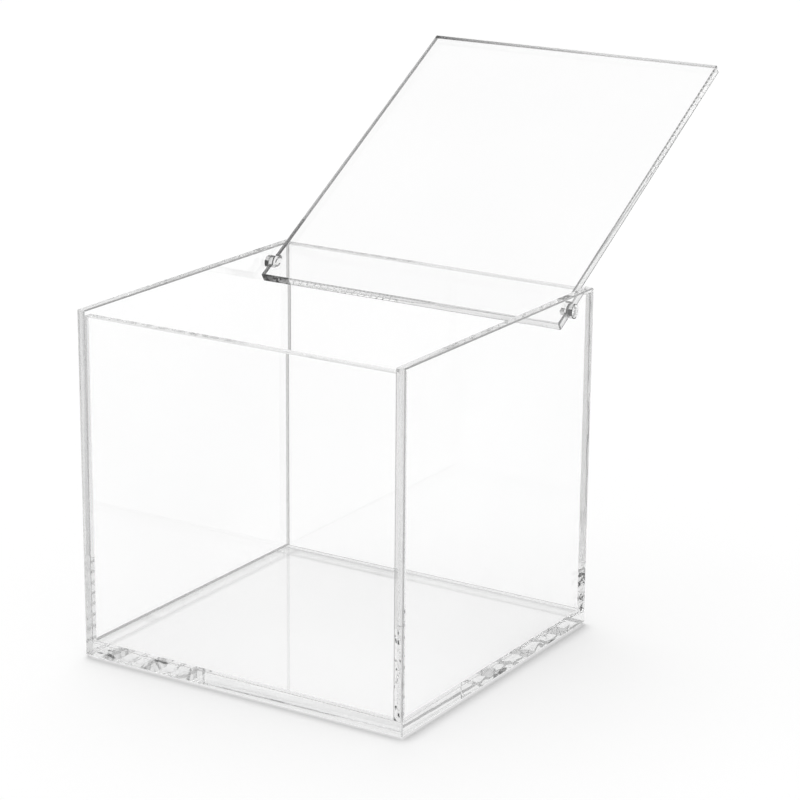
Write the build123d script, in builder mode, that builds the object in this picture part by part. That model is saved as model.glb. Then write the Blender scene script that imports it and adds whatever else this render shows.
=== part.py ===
from build123d import *
import os

os.makedirs("parts", exist_ok=True)

# Clear acrylic box with a tilting lid, for capsules and other small goods.
# Millimetres, +Z up, front face towards -Y. The origin is the centre of the underside.

# Overall sizes of the box
box_width = 150
box_depth = 142
side_height = 143.5
front_height = 141.5
base_thickness = 6.5
sheet = 4

# Hinge axis, measured from the outer back face and from the tops of the side walls
hinge_from_back = 15.5
hinge_below_top = 6.5

# Lid
lid_lean = 59.3
lid_side_gap = 0.5
lid_tail = 9.7
lid_reach = 152.8
notch_depth = 3
notch_width = 6.1

# Hinge pegs and the bores that they turn in
peg_diameter = 6
bore_diameter = 6.1
peg_bevel = 0.4

# Polished edges
edge_ease = 0.5
foot_ease = 0.8

hinge_y = box_depth / 2 - hinge_from_back
hinge_z = side_height - hinge_below_top
inner_width = box_width - 2 * sheet
lid_width = inner_width - 2 * lid_side_gap
peg_length = notch_depth + lid_side_gap + sheet

# Base slab under the whole footprint, bevelled all round where it meets the table
with BuildPart() as base_panel:
    with BuildSketch():
        Rectangle(box_width, box_depth)
    extrude(amount=base_thickness)
    chamfer(base_panel.faces().sort_by(Axis.Z)[0].edges(), foot_ease)
    chamfer(base_panel.edges().filter_by(Axis.Z), edge_ease)


# A side wall stands on the slab over the full depth and holds one bore of the hinge
def make_side_wall(side):
    with BuildPart() as wall:
        with BuildSketch(Plane.YZ.offset(side * (box_width / 2 - sheet))):
            with Locations((0, (base_thickness + side_height) / 2)):
                Rectangle(box_depth, side_height - base_thickness)
        extrude(amount=side * sheet)
        outer_face = wall.faces().sort_by(Axis.X)[-1 if side > 0 else 0]
        chamfer(outer_face.edges().filter_by(Axis.Z), edge_ease)
        chamfer(wall.faces().sort_by(Axis.Z)[-1].edges(), edge_ease)
        with BuildSketch(Plane.YZ.offset(side * (box_width / 2 - sheet))):
            with Locations((hinge_y, hinge_z)):
                Circle(bore_diameter / 2)
        extrude(amount=side * sheet, mode=Mode.SUBTRACT)
    return wall


left_wall = make_side_wall(-1)
right_wall = make_side_wall(1)


# The front and back walls stand between the side walls and stop a little below their tops
def make_cross_wall(outer_y, inward):
    with BuildPart() as wall:
        with BuildSketch(Plane.XZ.offset(-outer_y)):
            with Locations((0, (base_thickness + front_height) / 2)):
                Rectangle(inner_width, front_height - base_thickness)
        extrude(amount=-inward * sheet)
        top_face = wall.faces().sort_by(Axis.Z)[-1]
        chamfer(top_face.edges().filter_by(Axis.X), edge_ease)
    return wall


front_wall = make_cross_wall(-box_depth / 2, 1)
back_wall = make_cross_wall(box_depth / 2, -1)

# Lid, drawn on its own middle plane through the hinge axis as it leans open on the back wall.
# The short tail below the axis hangs inside the box.
lid_plane = Plane((0, hinge_y, hinge_z)).rotated((90 - lid_lean, 0, 0))
with BuildPart() as lid_panel:
    with BuildSketch(lid_plane):
        with Locations((0, (lid_reach - lid_tail) / 2)):
            Rectangle(lid_width, lid_reach + lid_tail)
    extrude(amount=sheet / 2, both=True)
    chamfer(lid_panel.edges(), edge_ease)
    # One square notch in each side edge takes the inner end of a peg
    with BuildSketch(lid_plane):
        with Locations((-lid_width / 2, 0), (lid_width / 2, 0)):
            Rectangle(2 * notch_depth, notch_width)
    extrude(amount=sheet, both=True, mode=Mode.SUBTRACT)


# A peg is cemented in its notch and runs out through the wall, flush with its outer face
def make_hinge_pin(side):
    with BuildPart() as pin:
        with BuildSketch(Plane.YZ.offset(side * (box_width / 2 - peg_length))):
            with Locations((hinge_y, hinge_z)):
                Circle(peg_diameter / 2)
        extrude(amount=side * peg_length)
        outer_end = pin.faces().sort_by(Axis.X)[-1 if side > 0 else 0]
        chamfer(outer_end.edges(), peg_bevel)
    return pin


left_hinge_pin = make_hinge_pin(-1)
right_hinge_pin = make_hinge_pin(1)

# One file for each piece
pieces = {
    "base_panel": base_panel,
    "front_wall": front_wall,
    "back_wall": back_wall,
    "left_wall": left_wall,
    "right_wall": right_wall,
    "lid_panel": lid_panel,
    "left_hinge_pin": left_hinge_pin,
    "right_hinge_pin": right_hinge_pin,
}
for name, piece in pieces.items():
    piece.part.label = name
    export_step(piece.part, f"parts/{name}.step")
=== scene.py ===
import math
from collections import namedtuple

import bmesh
import bpy
from mathutils import Matrix, Vector


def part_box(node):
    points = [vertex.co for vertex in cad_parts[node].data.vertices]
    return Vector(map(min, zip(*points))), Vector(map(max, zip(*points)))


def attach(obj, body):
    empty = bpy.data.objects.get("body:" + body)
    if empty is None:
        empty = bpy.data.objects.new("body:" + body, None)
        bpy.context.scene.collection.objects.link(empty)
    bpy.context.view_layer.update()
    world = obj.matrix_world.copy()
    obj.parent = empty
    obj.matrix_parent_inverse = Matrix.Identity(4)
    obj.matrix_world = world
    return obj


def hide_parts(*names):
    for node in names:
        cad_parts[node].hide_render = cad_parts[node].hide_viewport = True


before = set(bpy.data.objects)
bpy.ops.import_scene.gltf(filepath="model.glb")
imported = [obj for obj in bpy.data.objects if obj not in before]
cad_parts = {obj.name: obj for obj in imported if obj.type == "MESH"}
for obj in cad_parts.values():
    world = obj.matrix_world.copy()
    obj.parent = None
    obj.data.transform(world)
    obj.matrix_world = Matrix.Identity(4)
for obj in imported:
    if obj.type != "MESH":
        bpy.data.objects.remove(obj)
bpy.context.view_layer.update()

scene = bpy.context.scene

X = Vector((1, 0, 0))
Y = Vector((0, 1, 0))
Z = Vector((0, 0, 1))

# Places in metres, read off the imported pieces
BASE_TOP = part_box("base_panel")[1].z
FRONT_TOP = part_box("front_wall")[1].z
INNER_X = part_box("front_wall")[1].x
INNER_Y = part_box("back_wall")[0].y
OUTER_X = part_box("right_wall")[1].x
LID_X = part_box("lid_panel")[1].x
PEG_LOW, PEG_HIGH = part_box("right_hinge_pin")
NOTCH_X = PEG_LOW.x
AXIS_Y = (PEG_LOW.y + PEG_HIGH.y) / 2
AXIS_Z = (PEG_LOW.z + PEG_HIGH.z) / 2
AXIS = Vector((0, AXIS_Y, AXIS_Z))
HALF_SHEET = (OUTER_X - INNER_X) / 2

# The open lid goes back and up by these shares of a step along it. Places on it are measured from the
# hinge axis, and LID_REACH is its far edge.
LID_BACK = 0.8599
LID_RISE = 0.5105
LID_SLOPE = math.asin(LID_RISE)
LID_ALONG = Vector((0, LID_BACK, LID_RISE))
LID_NORMAL = Vector((0, -LID_RISE, LID_BACK))
LID_REACH = 0.1528

# Eased edges, the narrow flat border beside them, and the reach of the bore and the notches round the axis
EASE = 0.0005
BORDER = 0.0004
MIDDLE = HALF_SHEET - EASE - BORDER
AXIS_ZONE = 0.004

# Strips on the slab: a line on its left side, two lines of shade under it, and the marked stretches
LEFT_STRIP = 0.0014
SHADE_X = -0.0675
SHADE_Y = 0.0640
SHADE_NARROW = 0.0007
SHADE_WIDE = 0.0017
SHADE_STEPS = (-SHADE_WIDE, -SHADE_NARROW, SHADE_NARROW, SHADE_WIDE)
FRONT_MARKS = (-0.0743, -0.022)
RIGHT_MARKS = (-0.018, 0.058)

# Heights on the walls where marks, spots and smooth strips end, the front border of the strip beside the
# right wall's back end, and half the height of the bore's middle band, which paints the peg's dark core as
# shade
MARKS_TOP = 0.028
SPOTS_TOP = 0.043
SMOOTH_TOP = 0.051
BACK_STRIP = 0.0642
CORE = 0.0013

# Width of the bands of painted shade on the lid's front face, which paint on it the dark look of its edges
# seen from inside, how far from the hinge the darkest stretch reaches, and the end of the sawn patch on
# its tail
BAND = 0.0024
HINGE_REACH = 0.026
SAWN_X = -0.0563

# The dark seat on each peg, a ring of painted shade where the peg enters the wall, begins this far before
# the wall's inner face and ends this deep in the bore
LEFT_SEAT = 0.0002
RIGHT_SEAT = 0.0011
SEAT_DEPTH = 0.0005
PEG_BEVEL = 0.0004
PEG_SIDES = 96

# A face is square to a direction, or leans towards it, when the cosine between them is above these
SQUARE = 0.9
SLANT = 0.3

# Small distances: one that counts as none, the gap between cemented faces, and where points are merged
TINY = 1e-5
HAIR = 5e-6
MERGE = 1e-6
FLAT_ANGLE = math.radians(0.5)
SHARP_ANGLE = math.radians(20)

# DULL is the tone of an edge that swallows light
ACRYLIC_IOR = 1.49
DULL = 0.1
NOISE_MIDDLE = 0.5

# Marks in a finish, each with the share of its tone that is left where it is darkest. Streaks have a scale
# along each axis, a tilt about X and the noise levels between which they set in. Loops have a scale and a
# width. A fade is painted shade, darker towards one end of a band: it has the places along X where it is
# darkest and where it ends.
Streaks = namedtuple("Streaks", "dark scale tilt low high", defaults=(0.0, 0.38, 0.62))
Loops = namedtuple("Loops", "dark scale width")
Fade = namedtuple("Fade", "x_dark x_clear dark")


def grey(level):
    return level, level, level, 1


def math_node(tree, operation, first, second=None):
    node = tree.nodes.new("ShaderNodeMath")
    node.operation = operation
    for place, value in enumerate((first, second)):
        if isinstance(value, (int, float)):
            node.inputs[place].default_value = value
        elif value is not None:
            tree.links.new(value, node.inputs[place])
    return node.outputs[0]


def any_of(tree, *sockets):
    found = sockets[0]
    for socket in sockets[1:]:
        found = math_node(tree, "MAXIMUM", found, socket)
    return found


def spread(tree, socket, low, high, at_low, at_high):
    """Values from low to high run from at_low to at_high, and stay there outside."""
    node = tree.nodes.new("ShaderNodeMapRange")
    node.inputs["From Min"].default_value = low
    node.inputs["From Max"].default_value = high
    node.inputs["To Min"].default_value = at_low
    node.inputs["To Max"].default_value = at_high
    tree.links.new(socket, node.inputs["Value"])
    return node.outputs["Result"]


def noise(tree, place, scale, detail=1.0):
    node = tree.nodes.new("ShaderNodeTexNoise")
    node.inputs["Scale"].default_value = scale
    node.inputs["Detail"].default_value = detail
    tree.links.new(place, node.inputs["Vector"])
    return node.outputs["Fac"]


def mix_shaders(tree, factor, first, second):
    node = tree.nodes.new("ShaderNodeMixShader")
    tree.links.new(factor, node.inputs[0])
    tree.links.new(first, node.inputs[1])
    tree.links.new(second, node.inputs[2])
    return node.outputs[0]


def new_material(name):
    material = bpy.data.materials.new(name)
    material.use_nodes = True
    material.node_tree.nodes.clear()
    return material, material.node_tree, material.node_tree.nodes.new("ShaderNodeOutputMaterial")


def streak_shade(tree, place, streaks):
    """Fine lines as sawing leaves them."""
    turn = tree.nodes.new("ShaderNodeMapping")
    turn.inputs["Rotation"].default_value = (streaks.tilt, 0, 0)
    turn.inputs["Scale"].default_value = streaks.scale
    tree.links.new(place, turn.inputs["Vector"])
    grain = noise(tree, turn.outputs["Vector"], scale=1.0, detail=2.0)
    return spread(tree, grain, streaks.low, streaks.high, streaks.dark, 1.0)


def loop_shade(tree, place, loops):
    """Thin dark loops round ripples in an edge, where the noise crosses its middle level."""
    ripple = noise(tree, place, loops.scale)
    from_middle = math_node(tree, "ABSOLUTE", math_node(tree, "SUBTRACT", ripple, NOISE_MIDDLE))
    return spread(tree, from_middle, 0.0, loops.width, loops.dark, 1.0)


def fade_shade(tree, place, fade):
    split = tree.nodes.new("ShaderNodeSeparateXYZ")
    tree.links.new(place, split.inputs[0])
    return spread(tree, split.outputs["X"], fade.x_dark, fade.x_clear, fade.dark, 1.0)


def lose_inside(tree, seen, loss):
    """An edge that swallows this share of what is mirrored from inside."""
    dull = tree.nodes.new("ShaderNodeBsdfDiffuse")
    dull.inputs["Color"].default_value = grey(DULL)
    mirror = tree.nodes.new("ShaderNodeFresnel")
    mirror.inputs["IOR"].default_value = ACRYLIC_IOR
    side = tree.nodes.new("ShaderNodeNewGeometry")
    inside = math_node(tree, "MULTIPLY", mirror.outputs[0], side.outputs["Backfacing"])
    return mix_shaders(tree, math_node(tree, "MULTIPLY", inside, loss), seen, dull.outputs[0])


def let_lamps_through(tree, seen, lamps):
    """Lamps and soft light cross the surface in a straight line, and this share of them gets through."""
    clear = tree.nodes.new("ShaderNodeBsdfTransparent")
    clear.inputs["Color"].default_value = grey(lamps)
    path = tree.nodes.new("ShaderNodeLightPath")
    lighting = any_of(tree, path.outputs["Is Shadow Ray"], path.outputs["Is Diffuse Ray"])
    return mix_shaders(tree, lighting, seen, clear.outputs[0])


def clear_acrylic(
    name, tone, rough=0.0, lamps=0.9, satin=0.0, loss=0.0,
    wave=0.0, wave_scale=70.0, streaks=None, loops=None, fade=None,
):
    """Clear acrylic that bends what is seen through it.

    lamps is the share of lamp light that gets through, satin the share of the look that scatters, loss
    what an edge swallows of a reflection from inside, and wave the height of a slight unevenness.
    """
    material, tree, out = new_material(name)
    acrylic = tree.nodes.new("ShaderNodeBsdfPrincipled")
    acrylic.inputs["Base Color"].default_value = grey(tone)
    acrylic.inputs["Roughness"].default_value = rough
    acrylic.inputs["IOR"].default_value = ACRYLIC_IOR
    acrylic.inputs["Transmission Weight"].default_value = 1.0 - satin
    place = tree.nodes.new("ShaderNodeTexCoord").outputs["Object"]
    if wave:
        bump = tree.nodes.new("ShaderNodeBump")
        bump.inputs["Strength"].default_value = 1.0
        bump.inputs["Distance"].default_value = wave
        tree.links.new(noise(tree, place, wave_scale), bump.inputs["Height"])
        tree.links.new(bump.outputs["Normal"], acrylic.inputs["Normal"])
    kinds = ((streak_shade, streaks), (loop_shade, loops), (fade_shade, fade))
    shades = [make(tree, place, wanted) for make, wanted in kinds if wanted]
    if shades:
        colour = tone
        for shade in shades:
            colour = math_node(tree, "MULTIPLY", shade, colour)
        tree.links.new(colour, acrylic.inputs["Base Color"])
    seen = acrylic.outputs[0]
    if loss:
        seen = lose_inside(tree, seen, loss)
    tree.links.new(let_lamps_through(tree, seen, lamps), out.inputs["Surface"])
    return material


def cement_joint(name, tone):
    """A cemented joint is in optical contact, so it only tints what crosses it, and lamps not at all."""
    material, tree, out = new_material(name)
    see = tree.nodes.new("ShaderNodeBsdfTransparent")
    see.inputs["Color"].default_value = grey(tone)
    tree.links.new(let_lamps_through(tree, see.outputs[0], 1.0), out.inputs["Surface"])
    return material


# Streaks that more than one finish has: faint clouds in the sheet, and fine lines on its sawn edges
CLOUDS = Streaks(dark=0.99, scale=(11, 11, 11))


def level_lines(dark):
    return Streaks(dark=dark, scale=(12, 12, 900))


def lid_lines(dark):
    return Streaks(dark=dark, scale=(12, 12, 1500), tilt=-LID_SLOPE)


# Joints
JOINT = cement_joint("cement_joint", 0.97)
BED = cement_joint("cement_bed", 0.95)
SEAM = cement_joint("cement_seam", 0.72)
SOCKET = cement_joint("cement_socket", 0.95)

# Slab finishes: top and underside, its four sides, and the bevel that it stands on
SLAB = clear_acrylic("slab_face", 0.982, lamps=1.0, streaks=CLOUDS)
SHADED = clear_acrylic("slab_shaded", 0.982, lamps=0.74)
HALF_SHADED = clear_acrylic("slab_half_shaded", 0.982, lamps=0.88)
SIDE = clear_acrylic(
    "slab_side", 0.97, rough=0.01, lamps=0.25, wave=0.00004, wave_scale=60, streaks=level_lines(0.88)
)
SIDE_MARKED = clear_acrylic(
    "slab_marked", 0.90, lamps=0.25, wave=0.0003, wave_scale=90,
    streaks=Streaks(dark=0.12, scale=(85, 85, 230), low=0.38, high=0.41),
    loops=Loops(dark=0.45, scale=260, width=0.016),
)
SIDE_CORNER = clear_acrylic("slab_side_corner", 0.58, rough=0.08, lamps=0.25, wave=0.0001, wave_scale=120)
# Lit copies of the side and bevel finishes for the left and back, which face the key light. With their own
# tone, scatter and share of lamp light let through, they paint the floor's light and shade beside and
# under the slab on those sides unlike on the front and right.
SIDE_LIT = clear_acrylic(
    "slab_key_lit_side", 0.92, rough=0.01, lamps=0.5, wave=0.0001, wave_scale=60,
    streaks=level_lines(0.82),
)
SIDE_RIM = clear_acrylic("slab_rim", 0.74, rough=0.08, lamps=0.3, satin=0.4)
# Like the lit copies, the left rim lets all lamp light through, so the floor under it is not painted
# darker
LEFT_RIM = clear_acrylic("slab_left_rim", 0.40, rough=0.08, lamps=1.0, satin=0.4)
FOOT = clear_acrylic("slab_foot", 1.0, lamps=0.7)
FOOT_LIT = clear_acrylic("slab_key_lit_foot", 0.99, rough=0.03, lamps=0.3, satin=0.3)

# Wall finishes: sheet faces, the ends and tops with their eased borders, and the bores
FACE = clear_acrylic("clear_face", 0.996, lamps=0.95, streaks=CLOUDS)
BACK_MARKED = clear_acrylic(
    "wall_back_marked", 0.97, lamps=0.95,
    streaks=Streaks(dark=0.03, scale=(300, 300, 480), low=0.42, high=0.45),
    loops=Loops(dark=0.3, scale=380, width=0.02),
)
BACK_SMOOTH = clear_acrylic("wall_back_smooth", 0.95, rough=0.16, lamps=0.95)
END = clear_acrylic(
    "wall_end", 0.78, rough=0.02, lamps=0.8, wave=0.00006,
    streaks=Streaks(dark=0.8, scale=(1500, 1500, 12)),
)
END_LOW = clear_acrylic(
    "wall_end_foot", 0.82, lamps=0.8, wave=0.00004, wave_scale=160,
    loops=Loops(dark=0.5, scale=300, width=0.014),
)
END_SMOOTH = clear_acrylic(
    "wall_end_smooth", 0.78, rough=0.22, lamps=0.8, wave=0.00004, wave_scale=160,
    loops=Loops(dark=0.4, scale=300, width=0.018),
)
END_SPOTTED = clear_acrylic(
    "wall_end_spotted", 0.97, lamps=0.8, wave=0.0002, wave_scale=220,
    streaks=Streaks(dark=0.01, scale=(900, 900, 380), low=0.37, high=0.39),
    loops=Loops(dark=0.5, scale=420, width=0.02),
)
END_RIM = clear_acrylic("wall_end_rim", 0.58, rough=0.10, lamps=0.7, satin=0.5)
END_GLINT = clear_acrylic("wall_end_glint", 0.96, rough=0.10, lamps=0.8, satin=0.5)
TOP = clear_acrylic("wall_top", 0.96, rough=0.02, wave=0.00004)
TOP_RIM = clear_acrylic("wall_top_rim", 0.90, rough=0.08, lamps=0.8, satin=0.5)
# Painted shade: the middle band of each bore swallows all it mirrors from inside, so the peg shows a dark
# core
BORE_SHADED_CORE = clear_acrylic("bored_hole_painted_shade_core", 0.9, rough=0.05, loss=1.0)
BORE = clear_acrylic(
    "bored_hole", 0.9, rough=0.05, loss=0.35, streaks=Streaks(dark=0.6, scale=(1200, 12, 12))
)

# Lid finishes: painted shade bands on its front face, its four edges with their lines and rims, and the
# notches
# Painted shade: the front face is darker beside its left and far edges, for the dark look of those edges
# from inside. It is darkest near the hinge, and along the far edge it fades out towards the right.
LEFT_SHADE_BAND = clear_acrylic("lid_left_painted_shade", 0.32)
HINGE_SHADE_BAND = clear_acrylic("lid_hinge_painted_shade", 0.10)
FAR_SHADE_BAND = clear_acrylic("lid_far_painted_shade", 0.50, fade=Fade(x_dark=-0.069, x_clear=0.02, dark=0.03))
LID_SIDE = clear_acrylic("lid_side", 1.0, wave=0.00004, streaks=lid_lines(0.90))
LID_SOFT = clear_acrylic("lid_soft_line", 0.85, rough=0.08, satin=0.4)
LID_LINE = clear_acrylic("lid_line", 0.14, rough=0.08, satin=0.5)
LID_LEFT = clear_acrylic("lid_left_side", 1.0, loss=0.1)
LID_FAR = clear_acrylic("lid_far_end", 1.0, wave=0.00004)
FAR_RIM = clear_acrylic("lid_far_rim", 0.9, rough=0.05, lamps=0.8, satin=0.3)
LID_TAIL = clear_acrylic("lid_tail_end", 0.98, rough=0.01, wave=0.00004, streaks=lid_lines(0.88))
LID_SAWN = clear_acrylic(
    "lid_tail_sawn", 0.28, rough=0.1, satin=0.5,
    streaks=Streaks(dark=0.1, scale=(420, 420, 420), low=0.44, high=0.56),
)
LID_RIM = clear_acrylic("lid_rim", 0.55, rough=0.08, lamps=0.8, satin=0.5)
LID_GLINT = clear_acrylic("lid_glint", 0.99, rough=0.03, lamps=0.8, satin=0.3)
NOTCH = clear_acrylic("sawn_notch", 0.05, rough=0.3, lamps=0.8, satin=0.3)

# Peg finishes
ROD = clear_acrylic(
    "rod_barrel", 0.97, rough=0.01, lamps=0.97, streaks=Streaks(dark=0.8, scale=(1500, 12, 12))
)
# Painted shade: a near-black ring on the peg where it enters the wall, for the shade there
ROD_SEAT_SHADE = clear_acrylic(
    "rod_seat_painted_shade", 0.05, rough=0.1, satin=0.5, streaks=Streaks(dark=0.6, scale=(900, 900, 900))
)
ROD_RIM = clear_acrylic("rod_rim", 0.10, rough=0.08, satin=0.5)
ROD_FACE = clear_acrylic("rod_end", 0.99, rough=0.01, lamps=0.97, wave=0.00002, wave_scale=300)


def faces(normal, direction):
    return normal.dot(direction) > SQUARE


def leans(normal, direction):
    return normal.dot(direction) > SLANT


def square_to(normal, *axes):
    return any(abs(normal.dot(axis)) > SQUARE for axis in axes)


def runs_along(normal, axis):
    return abs(normal.dot(axis)) < SLANT


# The finish of a face on each piece, from the face's centre and normal
def slab_finish(centre, normal):
    if faces(normal, Z):
        return JOINT if abs(centre.x) > INNER_X or abs(centre.y) > INNER_Y else SLAB
    if faces(normal, -Z):
        to_line = min(abs(centre.x - SHADE_X), abs(centre.y - SHADE_Y))
        if to_line < SHADE_NARROW:
            return SHADED
        return HALF_SHADED if to_line < SHADE_WIDE else SLAB
    # The left and back faces face the key light and take the lit copies, which paint the floor's shade
    # there
    far = leans(normal, -X) or leans(normal, Y)
    if leans(normal, -Z):
        return FOOT_LIT if far else FOOT
    if faces(normal, -X) and centre.z > BASE_TOP - LEFT_STRIP:
        return LEFT_RIM
    if not square_to(normal, X, Y) or centre.z > BASE_TOP - BORDER:
        return SIDE_RIM
    if far:
        return SIDE_LIT
    if faces(normal, X):
        low, high = RIGHT_MARKS
        return SIDE_MARKED if low < centre.y < high else SIDE
    if centre.x < -INNER_X:
        return SIDE_CORNER
    low, high = FRONT_MARKS
    return SIDE_MARKED if low < centre.x < high else SIDE


def wall_end_finish(centre):
    if OUTER_X - EASE - abs(centre.x) < BORDER:
        return END_GLINT
    if abs(centre.x) - INNER_X < BORDER:
        return END_RIM
    if centre.y < 0 and centre.z < SPOTS_TOP:
        return END_SPOTTED if centre.x > 0 else END_SMOOTH
    return END_LOW if centre.z < MARKS_TOP else END


def side_wall_finish(centre, normal):
    if faces(normal, -Z):
        return BED
    if square_to(normal, X):
        if normal.x * centre.x < 0:
            return JOINT if abs(centre.y) > INNER_Y and centre.z < FRONT_TOP else FACE
        if centre.x > 0 and centre.y > BACK_STRIP and centre.z < SMOOTH_TOP:
            return BACK_MARKED if centre.z < MARKS_TOP else BACK_SMOOTH
        return FACE
    from_axis = centre - AXIS
    if runs_along(normal, X) and abs(from_axis.y) < AXIS_ZONE and abs(from_axis.z) < AXIS_ZONE:
        return BORE_SHADED_CORE if abs(from_axis.z) < CORE else BORE
    if faces(normal, Z):
        return TOP
    if leans(normal, Z):
        return TOP_RIM
    return wall_end_finish(centre) if square_to(normal, Y) else END_RIM


def cross_wall_finish(centre, normal):
    if faces(normal, -Z):
        return JOINT
    if square_to(normal, X):
        return SEAM if centre.x < 0 < centre.y else BED
    if square_to(normal, Y):
        return FACE
    return TOP if faces(normal, Z) else TOP_RIM


def lid_face_finish(centre, normal, along):
    if faces(normal, -LID_NORMAL):
        return FACE
    # Bands of painted shade along the far edge and the left edge of the front face
    if along > LID_REACH - BAND:
        return FAR_SHADE_BAND
    if centre.x > BAND - LID_X:
        return FACE
    return HINGE_SHADE_BAND if along < HINGE_REACH else LEFT_SHADE_BAND


def lid_right_finish(in_front, in_tail, flat, in_middle):
    if flat and in_middle:
        return LID_SIDE
    if in_tail or not in_front:
        return LID_LINE
    return LID_GLINT if flat else LID_SOFT


def lid_finish(centre, normal):
    along = (centre - AXIS).dot(LID_ALONG)
    off = (centre - AXIS).dot(LID_NORMAL)
    in_tail = along < 0
    in_middle = abs(off) < MIDDLE
    if square_to(normal, X) and abs(abs(centre.x) - NOTCH_X) < TINY:
        return JOINT
    if square_to(normal, LID_NORMAL):
        return lid_face_finish(centre, normal, along)
    if abs(along) < AXIS_ZONE:
        return NOTCH
    if leans(normal, LID_ALONG):
        return LID_FAR if square_to(normal, LID_ALONG) and in_middle else FAR_RIM
    if in_tail and runs_along(normal, X) and centre.x < SAWN_X:
        return LID_SAWN
    if leans(normal, X):
        return lid_right_finish(off > 0, in_tail, faces(normal, X), in_middle)
    if faces(normal, -X):
        return LID_LEFT
    if not square_to(normal, LID_ALONG):
        return LID_GLINT if runs_along(normal, X) else LID_RIM
    if in_middle:
        return LID_TAIL
    return LID_GLINT if off > 0 else LID_RIM


def across(axis, *places, start=Vector()):
    """Cutting planes square to an axis, at these distances along it."""
    return [(start + axis * place, axis) for place in places]


def panel(node, cuts, finish):
    """The CAD piece with its cemented, cut and eased faces parted off, so that each has its own finish."""
    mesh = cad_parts[node].data.copy()
    mesh.name = node + "_clear"
    obj = bpy.data.objects.new(node + "_clear", mesh)
    scene.collection.objects.link(obj)
    shape = bmesh.new()
    shape.from_mesh(mesh)
    bmesh.ops.remove_doubles(shape, verts=shape.verts, dist=MERGE)
    bmesh.ops.dissolve_limit(shape, angle_limit=FLAT_ANGLE, verts=shape.verts, edges=shape.edges)
    for place, square in cuts:
        whole = shape.verts[:] + shape.edges[:] + shape.faces[:]
        bmesh.ops.bisect_plane(shape, geom=whole, plane_co=place, plane_no=square)
    shape.normal_update()
    used = []
    for face in shape.faces:
        material = finish(face.calc_center_median(), face.normal)
        if material not in used:
            used.append(material)
        face.material_index = used.index(material)
        face.smooth = False
    # Cemented faces stand a hair apart, so that a ray meets them one after the other
    for vertex in shape.verts:
        if node != "base_panel" and vertex.co.z < BASE_TOP + TINY:
            vertex.co.z += HAIR
        if node in ("front_wall", "back_wall"):
            vertex.co.x -= math.copysign(HAIR, vertex.co.x)
    mesh.materials.clear()
    for material in used:
        mesh.materials.append(material)
    shape.to_mesh(mesh)
    shape.free()
    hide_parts(node)
    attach(obj, "lid" if node == "lid_panel" else "box")


def peg(side, node, seat):
    """The hinge peg as a turned rod with a dark seat of painted shade, a bevelled outer end and a cemented
    inner end.
    """
    low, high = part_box(node)
    radius = (high.z - low.z) / 2
    rings = [
        (NOTCH_X, radius),
        (INNER_X - seat, radius),
        (INNER_X + SEAT_DEPTH, radius),
        (OUTER_X - PEG_BEVEL, radius),
        (OUTER_X, radius - PEG_BEVEL),
    ]
    finishes = [ROD, ROD_SEAT_SHADE, ROD, ROD_RIM]
    used = [ROD, ROD_SEAT_SHADE, ROD_RIM, ROD_FACE, SOCKET]
    shape = bmesh.new()
    loops = []
    for x, ring_radius in rings:
        loop = []
        for step in range(PEG_SIDES):
            angle = 2 * math.pi * step / PEG_SIDES
            y = AXIS_Y + ring_radius * math.cos(angle)
            z = AXIS_Z + ring_radius * math.sin(angle)
            loop.append(shape.verts.new((side * x, y, z)))
        loops.append(loop)
    for one, other, finish in zip(loops, loops[1:], finishes):
        for i in range(PEG_SIDES):
            j = (i + 1) % PEG_SIDES
            shape.faces.new((one[i], one[j], other[j], other[i])).material_index = used.index(finish)
    shape.faces.new(loops[0]).material_index = used.index(SOCKET)
    shape.faces.new(loops[-1]).material_index = used.index(ROD_FACE)
    bmesh.ops.recalc_face_normals(shape, faces=shape.faces)
    for face in shape.faces:
        face.smooth = len(face.verts) == 4
    mesh = bpy.data.meshes.new(node + "_clear")
    for material in used:
        mesh.materials.append(material)
    shape.to_mesh(mesh)
    shape.free()
    mesh.set_sharp_from_angle(angle=SHARP_ANGLE)
    obj = bpy.data.objects.new(node + "_clear", mesh)
    scene.collection.objects.link(obj)
    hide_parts(node)
    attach(obj, "lid")


# The pieces
panel(
    "base_panel",
    across(X, -INNER_X, INNER_X)
    + across(Y, -INNER_Y, INNER_Y)
    + across(X, *(SHADE_X + step for step in SHADE_STEPS))
    + across(Y, *(SHADE_Y + step for step in SHADE_STEPS))
    + across(Z, BASE_TOP - BORDER, BASE_TOP - LEFT_STRIP)
    + across(X, *FRONT_MARKS)
    + across(Y, *RIGHT_MARKS),
    slab_finish,
)
for side, node in ((-1, "left_wall"), (1, "right_wall")):
    panel(
        node,
        across(Y, -INNER_Y, INNER_Y)
        + across(Z, FRONT_TOP, MARKS_TOP, SPOTS_TOP, SMOOTH_TOP)
        + across(Y, BACK_STRIP)
        + across(X, side * (INNER_X + BORDER), side * (OUTER_X - EASE - BORDER)),
        side_wall_finish,
    )
panel("front_wall", [], cross_wall_finish)
panel("back_wall", [], cross_wall_finish)
panel(
    "lid_panel",
    across(LID_NORMAL, -MIDDLE, MIDDLE, start=AXIS)
    + across(X, SAWN_X, BAND - LID_X)
    + across(LID_ALONG, LID_REACH - BAND, HINGE_REACH, start=AXIS),
    lid_finish,
)
peg(-1, "left_hinge_pin", LEFT_SEAT)
peg(1, "right_hinge_pin", RIGHT_SEAT)

# Floor: a pale sweep that shows as white, and still takes the box's soft shadow
FLOOR_TONE = 0.9
FLOOR_GLOW = 0.1
FLOOR_RADIUS = 30
FLOOR_SIDES = 96
FLOOR_DROP = 0.0002


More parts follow.
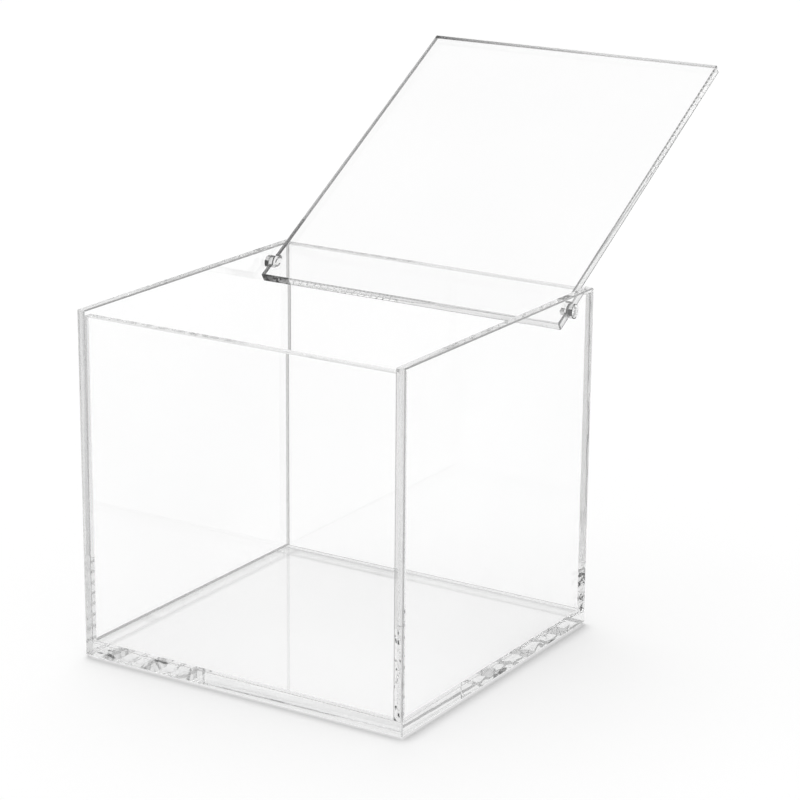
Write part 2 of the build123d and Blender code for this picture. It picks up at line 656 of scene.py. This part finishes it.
def white_floor():
    material, tree, out = new_material("white_floor")
    diffuse = tree.nodes.new("ShaderNodeBsdfDiffuse")
    diffuse.inputs["Color"].default_value = grey(FLOOR_TONE)
    glow = tree.nodes.new("ShaderNodeEmission")
    glow.inputs["Color"].default_value = grey(1)
    path = tree.nodes.new("ShaderNodeLightPath")
    rays = [path.outputs[kind] for kind in ("Is Camera Ray", "Is Glossy Ray", "Is Transmission Ray")]
    tree.links.new(math_node(tree, "MULTIPLY", any_of(tree, *rays), FLOOR_GLOW), glow.inputs["Strength"])
    both = tree.nodes.new("ShaderNodeAddShader")
    tree.links.new(diffuse.outputs[0], both.inputs[0])
    tree.links.new(glow.outputs[0], both.inputs[1])
    tree.links.new(both.outputs[0], out.inputs["Surface"])
    return material


shape = bmesh.new()
bmesh.ops.create_circle(shape, cap_ends=True, segments=FLOOR_SIDES, radius=FLOOR_RADIUS)
floor_mesh = bpy.data.meshes.new("floor")
shape.to_mesh(floor_mesh)
shape.free()
floor_mesh.materials.append(white_floor())
floor = bpy.data.objects.new("floor", floor_mesh)
floor.location.z = -FLOOR_DROP
scene.collection.objects.link(floor)

# World: white where it is seen, grey as a soft light, and dimmer overhead for what gleams and for what
# the clear edges bend, with a lift high up on the right. Heights and sides are parts of a unit direction.
SOFT_LIGHT = 0.45
OVERHEAD = 0.85
OVERHEAD_FROM = 0.30
OVERHEAD_TO = 0.75
LIFT = 0.3
LIFT_HEIGHTS = (0.5, 0.7)
LIFT_SIDES = (0.2, 0.5)


def mix_colours(tree, factor):
    """The places for the two colours, and the mixed one."""
    node = tree.nodes.new("ShaderNodeMix")
    node.data_type = "RGBA"
    tree.links.new(factor, node.inputs[0])
    return node.inputs[6], node.inputs[7], node.outputs[2]


world = bpy.data.worlds.new("studio")
scene.world = world
world.use_nodes = True
tree = world.node_tree
tree.nodes.clear()
out = tree.nodes.new("ShaderNodeOutputWorld")
back = tree.nodes.new("ShaderNodeBackground")
tree.links.new(back.outputs[0], out.inputs["Surface"])
direction = tree.nodes.new("ShaderNodeSeparateXYZ")
tree.links.new(tree.nodes.new("ShaderNodeTexCoord").outputs["Generated"], direction.inputs[0])
ramp = tree.nodes.new("ShaderNodeValToRGB")
low_stop, high_stop = ramp.color_ramp.elements
low_stop.position = OVERHEAD_FROM
low_stop.color = grey(1)
high_stop.position = OVERHEAD_TO
high_stop.color = grey(OVERHEAD)
tree.links.new(direction.outputs["Z"], ramp.inputs[0])
high_up = spread(tree, direction.outputs["Z"], *LIFT_HEIGHTS, 0.0, 1.0)
to_right = spread(tree, direction.outputs["X"], *LIFT_SIDES, 0.0, LIFT)
bright = tree.nodes.new("ShaderNodeVectorMath")
bright.operation = "SCALE"
tree.links.new(ramp.outputs[0], bright.inputs[0])
lift = math_node(tree, "ADD", math_node(tree, "MULTIPLY", high_up, to_right), 1.0)
tree.links.new(lift, bright.inputs["Scale"])
path = tree.nodes.new("ShaderNodeLightPath")
bent = any_of(tree, path.outputs["Is Glossy Ray"], path.outputs["Is Transmission Ray"])
when_soft, when_bent, lighting = mix_colours(tree, bent)
when_soft.default_value = grey(SOFT_LIGHT)
tree.links.new(bright.outputs[0], when_bent)
when_not_seen, when_seen, shown = mix_colours(tree, path.outputs["Is Camera Ray"])
tree.links.new(lighting, when_not_seen)
when_seen.default_value = grey(1)
tree.links.new(shown, back.inputs["Color"])

# A large soft key light from the upper left. It isn't seen in the acrylic, which shows the pale studio.
KEY_FROM = Vector((-0.42, 0.34, 1.0))
KEY_POWER = 2.0
KEY_WIDTH = math.radians(45)
key = bpy.data.lights.new("soft_key", "SUN")
key.energy = KEY_POWER
key.angle = KEY_WIDTH
key_light = bpy.data.objects.new("soft_key", key)
key_light.rotation_euler = KEY_FROM.to_track_quat("Z", "Y").to_euler()
key_light.visible_glossy = False
key_light.visible_transmission = False
scene.collection.objects.link(key_light)

# Camera at the photo's angle
CAMERA_PLACE = Vector((0.5739, -0.8699, 0.4137))
AZIMUTH = math.radians(32.098)
ELEVATION = math.radians(16.66)
ROLL = math.radians(0.477)
SENSOR_WIDTH = 36
FOCAL_LENGTH = 123.14
right = Vector((math.cos(AZIMUTH), math.sin(AZIMUTH), 0))
ahead = Vector((-math.sin(AZIMUTH), math.cos(AZIMUTH), 0))
backward = Z * math.sin(ELEVATION) - ahead * math.cos(ELEVATION)
up = backward.cross(right)
turned_right = right * math.cos(ROLL) + up * math.sin(ROLL)
turned_up = up * math.cos(ROLL) - right * math.sin(ROLL)
lens = bpy.data.cameras.new("camera")
lens.sensor_width = SENSOR_WIDTH
lens.lens = FOCAL_LENGTH
lens.clip_start = 0.01
lens.clip_end = 100
camera = bpy.data.objects.new("camera", lens)
turn = Matrix((turned_right, turned_up, backward)).transposed().to_4x4()
camera.matrix_world = Matrix.Translation(CAMERA_PLACE) @ turn
scene.collection.objects.link(camera)
scene.camera = camera

scene.view_settings.view_transform = "Standard"

# Light crosses many faces of the clear sheets before it gets out
BOUNCES = 48
scene.cycles.max_bounces = BOUNCES
scene.cycles.glossy_bounces = BOUNCES
scene.cycles.transmission_bounces = BOUNCES
scene.cycles.transparent_max_bounces = BOUNCES
